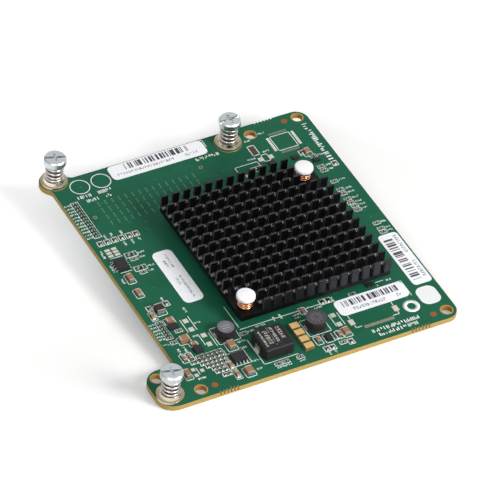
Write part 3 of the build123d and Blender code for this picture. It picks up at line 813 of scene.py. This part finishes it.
for key, spec in chipSets.items():
    length, width, height = spec["size"]
    end = spec["end"]
    pad = mm(Length=end * filmSet["padLength"], Width=width * filmSet["padWidth"],
             Height=filmSet["pad"], Span=length * filmSet["padSpan"])
    outline = mm(Length=spec["frame"][0], Width=spec["frame"][1], Line=spec["line"], Height=filmSet["print"])
    pieces = {
        "ChipBodies": ("block", spec["paint"], mm(Length=length - 2 * end, Width=width, Height=height)),
        "ChipEnds": ("pair", "tin", mm(Length=end, Width=width, Height=height, Span=length)),
        "ChipPads": ("pair", "solder", pad),
        "ChipOutlines": ("frame", "ink", outline),
    }
    for part, (tree, paintName, sizes) in pieces.items():
        grow(key + part, tree, spec["places"], sizes, paints[paintName])
print("chip parts placed:", sum(len(s["places"]) for s in chipSets.values()))


# moulded small parts, bare pads, rings and via dots
def blocks(paintName, places, **sizes):  # as thin as a pad unless a height is given
    sizes = mm(**{"Height": filmSet["pad"], **sizes})
    return {"tree": "block", "paint": paintName, "places": places, "sizes": sizes}


def circles(paintName, places, sides, **sizes):  # lengths in millimetres, and how many sides
    return {"tree": "ring", "paint": paintName, "places": places, "sizes": {**mm(**sizes), "Sides": sides}}


viaSet = {
    "first": 11.8, "pitch": 2.63, "columns": 15,
    "rows": (86.2, 87, 87.8, 89.4, 90.2, 91, 92.7, 93.6, 94.5, 96.2, 97, 97.8),
}
viaColumns = [viaSet["first"] + viaSet["pitch"] * i for i in range(viaSet["columns"])]
viaPlaces = [(x, y) for x in viaColumns for y in viaSet["rows"]]
padSets = {
    "smallMoulded": blocks("chip", spots(0, (78, 24.5), (85.5, 90.8), (91.8, 87), (76.6, 91.6)),
                           Length=2.4, Width=1.6, Height=0.8),
    "sixPads": blocks("solder", run(4, 72.2, 0, 1.5, 3, 0) + run(6.5, 72.2, 0, 1.5, 3, 0),
                      Length=1.9, Width=1.1),
    "coilPads": blocks("solder", spots(0, (12.7, 34.3), (12.7, 30), (15.2, 25.9), (15, 21.5))
                       + spots(0, (59.5, 16.9), (59.5, 12.3), (74, 95), (78, 95), (66, 89)),
                       Length=1.8, Width=1.9),
    "endPads": blocks("solder", spots(0, (63.7, 11.4), (80.7, 11.4)), Length=1.9, Width=2.6),
    "rowPads": blocks("pinkPad", run(66.9, 7.7, 0.5, 0, 23, 0), Length=0.22, Width=1.3),
    "squareSidePads": blocks("brightPad", run(81.2, 97.1, 0, 0.8, 9, 0) + run(91, 97.1, 0, 0.8, 9, 0),
                             Length=1.0, Width=0.56),
    "squareEndPads": blocks("dullPad", run(82.8, 95.3, 0.8, 0, 9, 90) + run(82.8, 105.2, 0.8, 0, 9, 90),
                            Length=1.0, Width=0.44),
    "copperPads": blocks("barePad", spots(0, (73.8, 101.3), (73.8, 99)), Length=1.9, Width=1.5),
    "threePads": blocks("solder", spots(0, (4.4, 12.9), (4.3, 10.2), (7.1, 11.5)), Length=1.3, Width=1.4),
    "testRings": circles("bareTan", spots(0, (7.7, 91.6), (52.8, 99.8)),
                         Outer=0.85, Inner=0.35, Height=0.05, sides=20),
    "ferruleRings": circles("bareTan", spots(0, (2.7, 113.4), (67.4, 107.2)),
                            Outer=5.0, Inner=4.7, Height=0.04, sides=48),
    "connectorVias": circles("tented", spots(0, *viaPlaces), Outer=0.34, Inner=0.1, Height=0.03, sides=10),
    "plainCircles": circles("ink", spots(0, (9.7, 107.3), (17.8, 107.3)),
                            Outer=3.6, Inner=3.25, Height=0.03, sides=48),
    "thickCircle": circles("ink", spots(0, (86.2, 10.2)), Outer=2.95, Inner=1.5, Height=0.03, sides=40),
}
for key, spec in padSets.items():
    grow(key, spec["tree"], spec["places"], spec["sizes"], paints[spec["paint"]])
print("bare pads placed:", sum(len(s["places"]) for s in padSets.values()))


# printed outlines round the larger parts, lines and rows of random strokes
printLook = {
    "line": 0.26, "seed": 7, "stroke": 0.8,  # height of a row of strokes that gives none of its own
    "widths": (0.16, 0.34), "gaps": (0.14, 0.18, 0.18, 0.45),  # shares of that height
    "spans": ((0.0, 1.0), (0.0, 1.0), (0.0, 0.55), (0.4, 1.0)),
    "outlines": [  # centre x and y, width, depth
        (4.9, 59.7, 2.9, 4.7), (4.3, 52.3, 2.8, 4.4), (7.7, 36.3, 3.8, 3), (8, 26.3, 4.4, 3.6),
        (10, 23.5, 3, 2.1), (21.2, 17.7, 3.7, 4.6), (21.1, 4.6, 3.7, 4.6), (1.6, 11.4, 2.7, 4.6),
        (59.7, 8, 3.2, 4.5), (51.2, 22.8, 2.4, 3.2), (90.7, 91.9, 3.2, 3.8), (49.2, 8.2, 2.5, 3.9),
        (57.2, 8, 2.5, 3.9), (4, 18.7, 2, 4.2), (6.3, 18.7, 2, 4.2), (22, 23.6, 8, 8),
        (51.6, 14.8, 8.2, 7.9), (7, 42.2, 4, 4.9), (20.8, 11.6, 6.6, 6.2), (86, 100.2, 7.6, 7.6),
        (73.8, 100.1, 2.6, 5), (76.1, 95.2, 2.3, 3.5), (53, 8, 3.2, 4),
    ],
    "lines": [  # from x and y to x and y
        (27.4, 5.6, 27.4, 18), (27.4, 5.6, 40, 5.6), (27.7, 24.6, 27.7, 35), (27.7, 23.4, 58, 23.4),
        (3.3, 71, 7.5, 71), (3.4, 63.4, 7.4, 63.4), (3.4, 69.6, 7.4, 69.6), (11.1, 29.3, 11.1, 35.3),
        (14.4, 29.3, 14.4, 36), (13.6, 21.8, 13.6, 26.3), (17.1, 19.8, 17.1, 26.3),
        (58.2, 12, 58.2, 17.5), (61.3, 11.7, 61.3, 17.5), (63.9, 13, 63.9, 14.6), (63.9, 8.6, 63.9, 9.6),
        (63.9, 8.5, 66, 8.5), (80.7, 13, 80.7, 14.6), (80.7, 8.7, 80.7, 10), (78.4, 8.7, 80.7, 8.7),
        (63.5, 94.6, 72.3, 94.6), (63.5, 92.4, 63.5, 94.6), (72.3, 92.4, 72.3, 94.6),
        (88.9, 14.8, 88.9, 22.4), (87.6, 22.4, 88.9, 22.4), (5.6, 10.3, 5.6, 13.2),
        (59.6, 108.6, 59.6, 112.2), (57.6, 112.2, 59.6, 112.2), (80.6, 25, 83.4, 25),
        (80.5, 23.3, 80.5, 23.6), (2.4, 69.4, 2.6, 69.6), (53.7, 23.4, 54, 23.7),
    ],
    "across": [  # start x and y, length, and height where it differs
        (6.5, 101.6, 5, 1.5), (14.2, 101.6, 5.3, 1.5), (8.8, 99.1, 4.2, 1.4), (16, 99.1, 1.6, 1.4),
        (53, 103, 9, 1.4), (68, 4, 18, 1.5), (69.5, 1.8, 14.5, 1.5), (24, 18, 2.5), (23.8, 15.1, 2.3),
        (24.3, 8.1, 2.6), (24, 4.2, 2.3), (14.9, 31.8, 2.2), (11.6, 26.3, 1.9), (29.5, 21, 2.4),
        (33, 22.1, 3.4), (47, 20.4, 2.5), (47, 21.7, 2.5), (55.4, 21.8, 2.6), (30.6, 2, 5.2),
        (39, 2, 2.2), (4, 7.9, 2.8), (94.1, 74.7, 2.3), (94.1, 70.1, 2.3), (94.1, 67.9, 2.3),
        (94.1, 65, 2.3), (94.1, 62.7, 2.3), (94.5, 60.9, 2.3), (94.5, 58.8, 2.3), (97.1, 50.3, 2),
        (97.1, 47.3, 2), (97.1, 45.6, 2), (76.4, 97.8, 2.4), (73, 104.9, 2.2), (79.2, 106.6, 2.6),
        (69.5, 96, 3), (0.6, 26.4, 2), (84.4, 24.2, 1.6), (93.6, 88.9, 2.2), (93.6, 83.2, 1.8),
        (93.6, 81, 1.8), (13.2, 69.8, 2.4), (12.6, 67.7, 2.2), (13.2, 62.7, 2.4), (12.6, 60.6, 2.2),
        (54.9, 5.9, 2.2),
    ],
    "upright": [
        (1.2, 72, 3.5, 0.9), (1.2, 64.7, 3.7, 0.9), (1.8, 58.3, 2.5), (13.8, 74.8, 2.2),
        (16.5, 75.4, 1.7), (10.9, 74.8, 2.2), (3.8, 21.3, 2.3), (6, 21.3, 2.3), (17.7, 23, 1.8),
        (40.1, 22.4, 2), (42.6, 22.4, 2), (6.1, 80.7, 1.7), (8.5, 80.7, 1.7), (12.1, 80.6, 1.8),
        (49.7, 0.8, 1.7), (51.9, 0.8, 1.7), (95.9, 85.4, 20, 1.9), (62.7, 22.6, 2.4), (9.9, 45.9, 1.8),
        (14.6, 38, 2.4),
    ],
    "lists": [(0.3, 29.1, 1.5, 6, 2.2), (0.3, 82.5, 1.57, 12, 2.3)],  # start x and y, pitch, count, length
    "patch": {"centre": (94.2, 12.6), "size": (7.4, 8.6), "corner": 2.8, "steps": 6},
}


def patchOutline(x, y, width, depth, corner, steps):
    outline = []
    for sideX, sideY, start in ((1, 1, 0), (-1, 1, 90), (-1, -1, 180), (1, -1, 270)):
        midX = x + sideX * (width / 2 - corner)
        midY = y + sideY * (depth / 2 - corner)
        for i in range(steps + 1):
            angle = math.radians(start + 90 / steps * i)
            outline.append((midX + corner * math.cos(angle), midY + corner * math.sin(angle)))
    return outline


def printedLines(look):
    made = bmesh.new()
    dice = random.Random(look["seed"])
    half = look["line"] / 2

    def film(outline):  # a closed film of ink inside an outline
        walled(made, outline, [(x, y, filmSet["print"]) for x, y in outline])

    def bar(x0, y0, x1, y1):
        film([(x0, y0), (x1, y0), (x1, y1), (x0, y1)])

    def line(x0, y0, x1, y1):
        bar(x0 - half, y0 - half, x1 + half, y1 + half)

    def strokes(upright, x, y, length, size=look["stroke"]):
        place = 0.0
        while place < length:
            step = size * dice.uniform(*look["widths"])
            low, high = dice.choice(look["spans"])
            if upright:
                bar(x + low * size, y + place, x + high * size, y + place + step)
            else:
                bar(x + place, y + low * size, x + place + step, y + high * size)
            place += step + size * dice.choice(look["gaps"])

    for x, y, width, depth in look["outlines"]:
        x0, x1, y0, y1 = x - width / 2, x + width / 2, y - depth / 2, y + depth / 2
        for ends in ((x0, y0, x1, y0), (x0, y1, x1, y1), (x0, y0, x0, y1), (x1, y0, x1, y1)):
            line(*ends)
    for ends in look["lines"]:
        line(*ends)
    for row in look["across"]:
        strokes(False, *row)
    for row in look["upright"]:
        strokes(True, *row)
    for x, y, pitch, count, length in look["lists"]:
        for i in range(count):
            strokes(False, x, y + pitch * i, length)
    patch = look["patch"]
    film(patchOutline(*patch["centre"], *patch["size"], patch["corner"], patch["steps"]))
    settle(made, "printedLines", paints["ink"])


printedLines(printLook)
print("print drawn")


# connector contacts on the underside, one pin at a time
contactSet = {
    "rows": 8, "columns": 26, "rowPitch": 1.625, "columnPitch": 1.3, "centre": (30.5, 92), "foot": -9,
    "size": {"Length": 0.6, "Width": 0.4, "Height": 1.5},
}


def contactPlaces(spec):
    x = spec["centre"][0] - (spec["columns"] - 1) / 2 * spec["columnPitch"]
    y = spec["centre"][1] - (spec["rows"] - 1) / 2 * spec["rowPitch"]
    places = []
    for r in range(spec["rows"]):
        places += run(x, y + spec["rowPitch"] * r, spec["columnPitch"], 0, spec["columns"], 0, spec["foot"])
    return places


contacts = grow("connectorContacts", "block", contactPlaces(contactSet), mm(**contactSet["size"]),
                paints["gold"])
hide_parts("mezzanine_contacts")
print("contacts placed:", contactSet["rows"] * contactSet["columns"])


# floor under the card as it rests, light and backdrop
stageSet = {
    "front": -2.0, "slope": (9.5 - 2.0) / 83.5,  # the card leans from its connector to its front edge
    "gap": 0.05, "size": 6000, "tone": 0.87, "speckle": 0.01, "mottle": 30, "rough": 0.9,
    # the floor's glow seen by the camera, raised towards the rear, the left and far out: painted light that
    # lightens the cast shadow there
    "paintedGlow": {"near": 0.17, "behind": 0.44, "far": 0.78, "y": (45, 95), "x": (115, 55),
             "centre": (45, 55), "reach": (86, 150)},
    "world": 0.40, "low": 0.50, "rise": 0.5, "lean": 0.25,
    "lamps": {  # metres and watts
        "keySoftbox": {"place": (0.57, -0.765, 0.64), "size": 0.45, "watts": 12.2, "tone": (1.0, 0.99, 0.97)},
        "fillSoftbox": {"place": (-0.60, -0.62, 0.75), "size": 0.5, "watts": 3.6, "tone": (0.97, 0.98, 1.0)},
    },
}


def rays(start, *kinds):  # one where any of these rays arrives
    seen = [start.node("ShaderNodeLightPath", output="Is " + kind + " Ray") for kind in kinds]
    both = seen[0]
    for other in seen[1:]:
        both = both.max(other)
    return both


def stageFloor(look):
    mesh = bpy.data.meshes.new("floor")
    reach = look["size"]
    corners = [(-reach, -reach), (reach, -reach), (reach, reach), (-reach, reach)]
    heights = [look["front"] - look["slope"] * y - look["gap"] for x, y in corners]
    mesh.from_pydata([onBoard(*corner, z) for corner, z in zip(corners, heights)], [], [(0, 1, 2, 3)])
    paint = Paint("floorPaper", Roughness=look["rough"], Specular_IOR_Level=0.0, Emission_Strength=1.0)
    tones = [(look["tone"] + more,) * 3 for more in (0.0, look["speckle"])]
    paint.feed(Base_Color=paint.noise(look["mottle"], detail=2.0).mix(*tones))
    # painted light: glow seen by the camera and in reflections, rising towards the rear, the left and far out
    paintedGlow = look["paintedGlow"]
    near, behind, away = ((paintedGlow[key],) * 3 for key in ("near", "behind", "far"))
    tone = (paint.y.ramp(*paintedGlow["y"]) * paint.x.ramp(*paintedGlow["x"])).mix(near, behind)
    tone = paint.far(*paintedGlow["centre"]).ramp(*paintedGlow["reach"]).mix(tone, away)
    shown = rays(paint.start, "Camera", "Glossy", "Transmission")
    paint.feed(Emission_Color=shown.mix((0, 0, 0), tone))
    mesh.materials.append(paint.material)
    newObject("floor", mesh)


def stageLight(name, spec):
    data = bpy.data.lights.new(name, "AREA")
    data.size = spec["size"]
    data.energy = spec["watts"]
    data.color = spec["tone"]
    lamp = newObject(name, data)
    lamp.location = spec["place"]
    lamp.rotation_mode = "QUATERNION"
    aim = onBoard(*board["middle"]) - Vector(spec["place"])
    lamp.rotation_quaternion = aim.to_track_quat("-Z", "Y")


def stageWorld(look):  # white to the camera, a soft studio to shiny faces, an even sky to the rest
    world = bpy.data.worlds.new("backdrop")
    bpy.context.scene.world = world
    world.use_nodes = True
    tree = world.node_tree
    ground = tree.nodes["Background"]
    start = Wire(tree, None)
    way = start.node("ShaderNodeTexCoord", output="Generated")
    across, height = (start.node("ShaderNodeSeparateXYZ", {0: way}, i) for i in (0, 2))
    up = height.max(0.0)
    studio = up * look["rise"] + look["low"] + across * (1 - up) * look["lean"]
    level = rays(start, "Glossy") * (studio - look["world"]) + look["world"]
    white = rays(start, "Camera", "Transmission")
    tree.links.new((white * (1 - level) + level).link, ground.inputs["Strength"])
    ground.inputs["Color"].default_value = (1, 1, 1, 1)


stageFloor(stageSet)
for lampName, lampSpec in stageSet["lamps"].items():
    stageLight(lampName, lampSpec)
stageWorld(stageSet)
print("stage lit")

print("scene ready")
